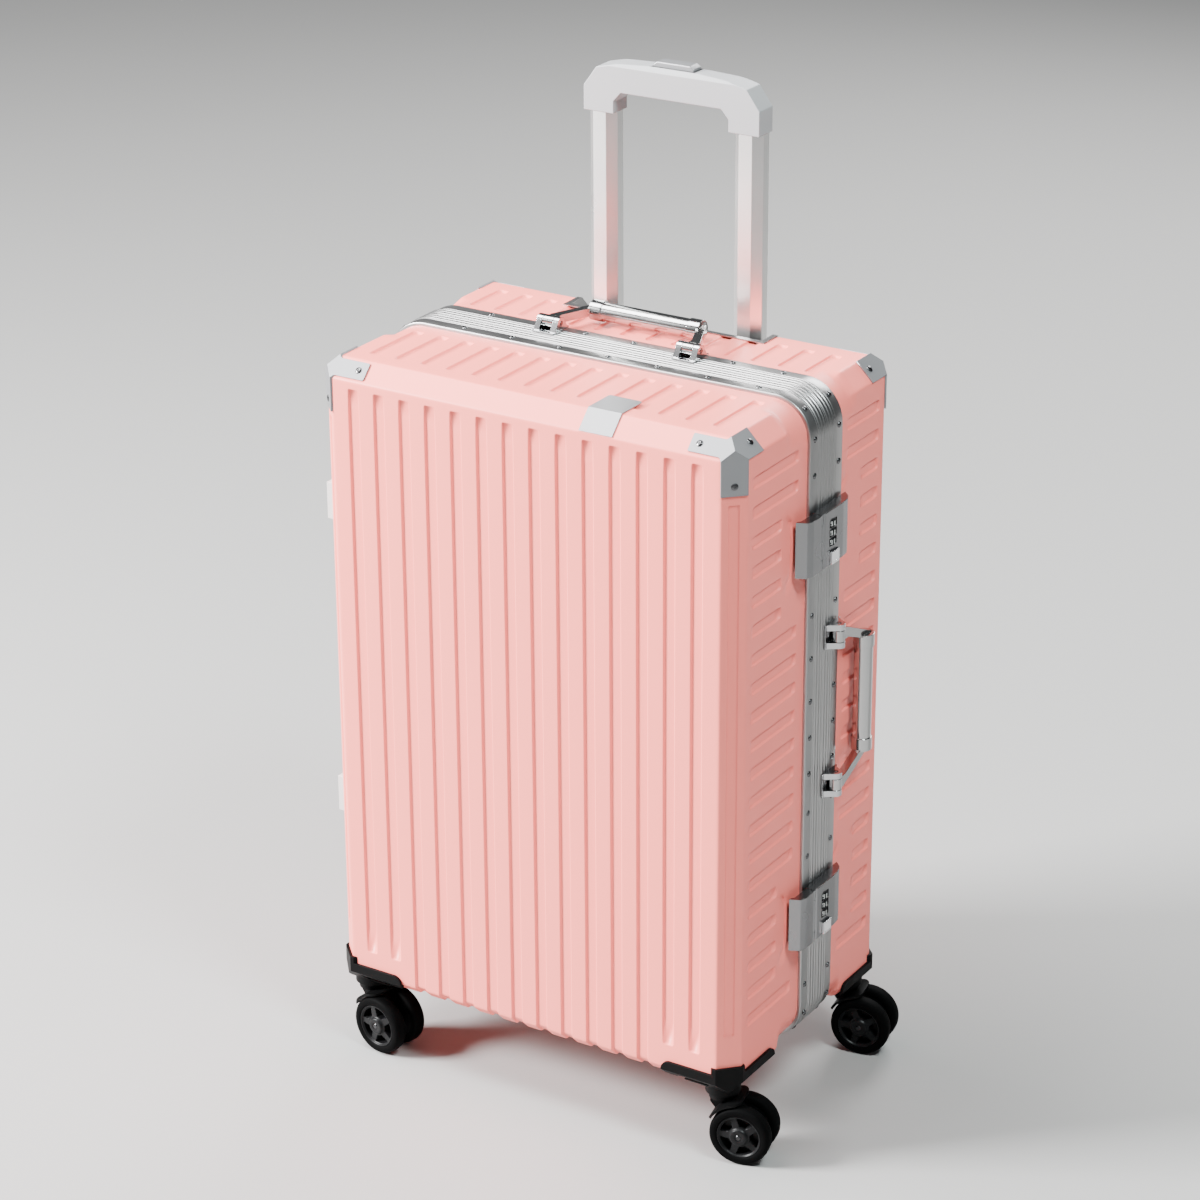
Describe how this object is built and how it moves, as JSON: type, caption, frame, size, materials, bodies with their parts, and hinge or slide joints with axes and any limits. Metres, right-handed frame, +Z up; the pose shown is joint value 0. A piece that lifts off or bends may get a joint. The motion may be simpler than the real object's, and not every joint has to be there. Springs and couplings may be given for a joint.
{
  "type": "hard shell suitcase",
  "caption": "Upright hard-shell suitcase: grooved pink shells in an aluminium frame, with combination locks, folding carry handles, a pull-out trolley handle and swivel castors.",
  "frame": {"origin": "on the floor under the middle of the case", "axes": "+Z up, -Y towards the front face (the lid), +X towards the locks and the side handle"},
  "size_m": [0.5129, 0.2971, 0.973],
  "materials": {
    "shell": "smooth satin-gloss polycarbonate, pale pink",
    "frame_metal": "extruded, satin anodised, finely ridged",
    "guard_metal": "satin grey pressed metal",
    "rivet_steel": "polished steel heads and pins",
    "seal_rubber": "soft black rubber",
    "lining_cloth": "thin woven lining",
    "strap_webbing": "ribbed webbing",
    "buckle_plastic": "moulded, fine texture",
    "trolley_metal": "drawn tube, satin silver",
    "grip_plastic": "light grey, fine moulded texture",
    "button_metal": "satin",
    "handle_metal": "satin plated zinc",
    "lock_metal": "satin gunmetal silver",
    "lock_chrome": "bright plated",
    "dial_plastic": "black with white numbers",
    "castor_plastic": "black glass-filled nylon",
    "wheel_tyre": "soft dark grey tyre on a black hub",
    "axle_steel": "polished",
    "foot_plastic": "off-white moulded nylon"
  },
  "bodies": {
    "back_half": {"back_shell": "shell", "back_frame": "frame_metal", "frame_seal": "seal_rubber", "back_rivets_and_screws": "rivet_steel", "back_corner_guards": "guard_metal", "back_lining": "lining_cloth", "packing_straps": "strap_webbing", "strap_buckle": "buckle_plastic", "trolley_bezel": "trolley_metal", "trolley_outer_tubes": "trolley_metal", "top_handle_brackets": "handle_metal", "side_handle_brackets": "handle_metal", "handle_pins": "rivet_steel", "lock_bases": "lock_metal", "lock_pins": "rivet_steel", "back_hinge_leaves": "lock_metal", "hinge_pins": "rivet_steel", "back_castor_housings": "castor_plastic", "back_side_feet": "foot_plastic"},
    "front_half": {"front_shell": "shell", "front_frame": "frame_metal", "front_rivets_and_screws": "rivet_steel", "front_corner_guards": "guard_metal", "name_plate": "guard_metal", "front_lining": "lining_cloth", "lock_keepers": "lock_metal", "front_hinge_leaves": "lock_metal", "front_castor_housings": "castor_plastic", "front_side_feet": "foot_plastic"},
    "trolley": {"trolley_inner_tubes": "trolley_metal", "trolley_grip": "grip_plastic"},
    "trolley_button": {"trolley_button": "button_metal"},
    "top_handle": {"top_handle": "handle_metal"},
    "side_handle": {"side_handle": "handle_metal"},
    "upper_lock_latch": {"upper_lock_latch": "lock_metal"},
    "upper_lock_button": {"upper_lock_button": "lock_chrome"},
    "upper_dial_1": {"upper_dial_1": "dial_plastic"},
    "upper_dial_2": {"upper_dial_2": "dial_plastic"},
    "upper_dial_3": {"upper_dial_3": "dial_plastic"},
    "lower_lock_latch": {"lower_lock_latch": "lock_metal"},
    "lower_lock_button": {"lower_lock_button": "lock_chrome"},
    "lower_dial_1": {"lower_dial_1": "dial_plastic"},
    "lower_dial_2": {"lower_dial_2": "dial_plastic"},
    "lower_dial_3": {"lower_dial_3": "dial_plastic"},
    "front_left_castor": {"front_left_fork": "castor_plastic", "front_left_axle": "axle_steel"},
    "front_left_wheel_a": {"front_left_wheel_a": "wheel_tyre"},
    "front_left_wheel_b": {"front_left_wheel_b": "wheel_tyre"},
    "front_right_castor": {"front_right_fork": "castor_plastic", "front_right_axle": "axle_steel"},
    "front_right_wheel_a": {"front_right_wheel_a": "wheel_tyre"},
    "front_right_wheel_b": {"front_right_wheel_b": "wheel_tyre"},
    "back_left_castor": {"back_left_fork": "castor_plastic", "back_left_axle": "axle_steel"},
    "back_left_wheel_a": {"back_left_wheel_a": "wheel_tyre"},
    "back_left_wheel_b": {"back_left_wheel_b": "wheel_tyre"},
    "back_right_castor": {"back_right_fork": "castor_plastic", "back_right_axle": "axle_steel"},
    "back_right_wheel_a": {"back_right_wheel_a": "wheel_tyre"},
    "back_right_wheel_b": {"back_right_wheel_b": "wheel_tyre"}
  },
  "joints": [
    {"name": "case_hinge", "type": "hinge", "parent": "back_half", "child": "front_half", "pos_m": [-0.2355, 0.01, 0.405], "axis": [0, 0, 1], "range_deg": [-180, 0]},
    {"name": "trolley_slide", "type": "slide", "parent": "back_half", "child": "trolley", "axis": [0, 0, 1], "range_m": [-0.232, 0]},
    {"name": "trolley_button_press", "type": "slide", "parent": "trolley", "child": "trolley_button", "axis": [0, 0, -1], "range_m": [0, 0.003], "stiffness_N_per_m": 500, "springref_m": -0.002},
    {"name": "top_handle_hinge", "type": "hinge", "parent": "back_half", "child": "top_handle", "pos_m": [0, 0.025, 0.738], "axis": [1, 0, 0], "range_deg": [0, 95]},
    {"name": "side_handle_hinge", "type": "hinge", "parent": "back_half", "child": "side_handle", "pos_m": [0.237, 0.025, 0.4125], "axis": [0, 0, -1], "range_deg": [0, 95]},
    {"name": "upper_latch_hinge", "type": "hinge", "parent": "back_half", "child": "upper_lock_latch", "pos_m": [0.2386, -0.01675, 0.595], "axis": [0, 0, 1], "range_deg": [0, 85]},
    {"name": "upper_button_press", "type": "slide", "parent": "back_half", "child": "upper_lock_button", "axis": [-1, 0, 0], "range_m": [0, 0.002], "stiffness_N_per_m": 400},
    {"name": "upper_dial_1_turn", "type": "hinge", "parent": "back_half", "child": "upper_dial_1", "pos_m": [0.2359, 0.003, 0.6085], "axis": [0, 0, 1], "continuous": true},
    {"name": "upper_dial_2_turn", "type": "hinge", "parent": "back_half", "child": "upper_dial_2", "pos_m": [0.2359, 0.003, 0.5995], "axis": [0, 0, 1], "continuous": true},
    {"name": "upper_dial_3_turn", "type": "hinge", "parent": "back_half", "child": "upper_dial_3", "pos_m": [0.2359, 0.003, 0.5905], "axis": [0, 0, 1], "continuous": true},
    {"name": "lower_latch_hinge", "type": "hinge", "parent": "back_half", "child": "lower_lock_latch", "pos_m": [0.2386, -0.01675, 0.215], "axis": [0, 0, 1], "range_deg": [0, 85]},
    {"name": "lower_button_press", "type": "slide", "parent": "back_half", "child": "lower_lock_button", "axis": [-1, 0, 0], "range_m": [0, 0.002], "stiffness_N_per_m": 400},
    {"name": "lower_dial_1_turn", "type": "hinge", "parent": "back_half", "child": "lower_dial_1", "pos_m": [0.2359, 0.003, 0.2285], "axis": [0, 0, 1], "continuous": true},
    {"name": "lower_dial_2_turn", "type": "hinge", "parent": "back_half", "child": "lower_dial_2", "pos_m": [0.2359, 0.003, 0.2195], "axis": [0, 0, 1], "continuous": true},
    {"name": "lower_dial_3_turn", "type": "hinge", "parent": "back_half", "child": "lower_dial_3", "pos_m": [0.2359, 0.003, 0.2105], "axis": [0, 0, 1], "continuous": true},
    {"name": "front_left_swivel", "type": "hinge", "parent": "front_half", "child": "front_left_castor", "pos_m": [-0.202, -0.12, 0.068], "axis": [0, 0, 1], "continuous": true},
    {"name": "front_left_wheel_a_spin", "type": "hinge", "parent": "front_left_castor", "child": "front_left_wheel_a", "pos_m": [-0.18242, -0.13702, 0.03], "axis": [0.1564, 0.9877, 0], "continuous": true},
    {"name": "front_left_wheel_b_spin", "type": "hinge", "parent": "front_left_castor", "child": "front_left_wheel_b", "pos_m": [-0.17812, -0.10986, 0.03], "axis": [0.1564, 0.9877, 0], "continuous": true},
    {"name": "front_right_swivel", "type": "hinge", "parent": "front_half", "child": "front_right_castor", "pos_m": [0.202, -0.12, 0.068], "axis": [0, 0, 1], "continuous": true},
    {"name": "front_right_wheel_a_spin", "type": "hinge", "parent": "front_right_castor", "child": "front_right_wheel_a", "pos_m": [0.22638, -0.12887, 0.03], "axis": [-0.2079, 0.9781, 0], "continuous": true},
    {"name": "front_right_wheel_b_spin", "type": "hinge", "parent": "front_right_castor", "child": "front_right_wheel_b", "pos_m": [0.22066, -0.10198, 0.03], "axis": [-0.2079, 0.9781, 0], "continuous": true},
    {"name": "back_left_swivel", "type": "hinge", "parent": "back_half", "child": "back_left_castor", "pos_m": [-0.202, 0.12, 0.068], "axis": [0, 0, 1], "continuous": true},
    {"name": "back_left_wheel_a_spin", "type": "hinge", "parent": "back_left_castor", "child": "back_left_wheel_a", "pos_m": [-0.2257, 0.13055, 0.03], "axis": [0.1392, -0.9903, 0], "continuous": true},
    {"name": "back_left_wheel_b_spin", "type": "hinge", "parent": "back_left_castor", "child": "back_left_wheel_b", "pos_m": [-0.22187, 0.10332, 0.03], "axis": [0.1392, -0.9903, 0], "continuous": true},
    {"name": "back_right_swivel", "type": "hinge", "parent": "back_half", "child": "back_right_castor", "pos_m": [0.202, 0.12, 0.068], "axis": [0, 0, 1], "continuous": true},
    {"name": "back_right_wheel_a_spin", "type": "hinge", "parent": "back_right_castor", "child": "back_right_wheel_a", "pos_m": [0.22605, 0.11028, 0.03], "axis": [-0.1736, 0.9848, 0], "continuous": true},
    {"name": "back_right_wheel_b_spin", "type": "hinge", "parent": "back_right_castor", "child": "back_right_wheel_b", "pos_m": [0.22128, 0.13736, 0.03], "axis": [-0.1736, 0.9848, 0], "continuous": true}
  ]
}
